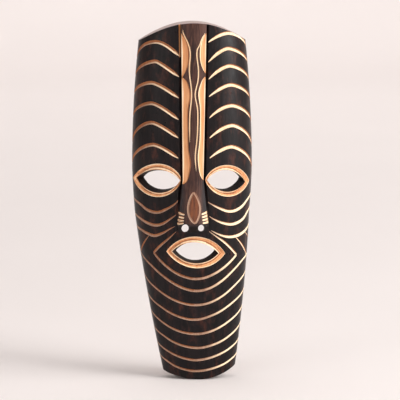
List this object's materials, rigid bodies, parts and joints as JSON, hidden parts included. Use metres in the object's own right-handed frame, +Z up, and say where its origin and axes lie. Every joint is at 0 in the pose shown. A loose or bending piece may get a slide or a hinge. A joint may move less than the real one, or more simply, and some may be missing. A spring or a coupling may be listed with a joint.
{
  "type": "carved wooden mask",
  "caption": "Tall hollowed wooden face mask with ridged forehead, cut-out eyes and mouth, and a swinging wire ring on its back for hanging.",
  "frame": {"origin": "centre of the wall hook that carries the raised ring, on the wall's face, 471 mm above the lowest point of the chin", "axes": "+Z up along the mask, +Y out of its back into the wall, face towards -Y, +X to the viewer's right"},
  "size_m": [0.167, 0.0671, 0.5],
  "materials": {
    "stained_wood": "black stained and waxed, with cuts in bare red-brown wood",
    "saddle_steel": "zinc plated, dull",
    "ring_steel": "nickel plated, satin",
    "screw_brass": "yellow plated"
  },
  "bodies": {
    "mask": {"mask_body": "stained_wood", "hanger_saddle": "saddle_steel", "screw_upper": "screw_brass", "screw_lower": "screw_brass"},
    "ring": {"hanger_ring": "ring_steel"}
  },
  "joints": [
    {"name": "ring_swing", "type": "hinge", "parent": "mask", "child": "ring", "pos_m": [0, -0.00616, -0.016], "axis": [1, 0, 0], "range_deg": [0, 180]}
  ]
}
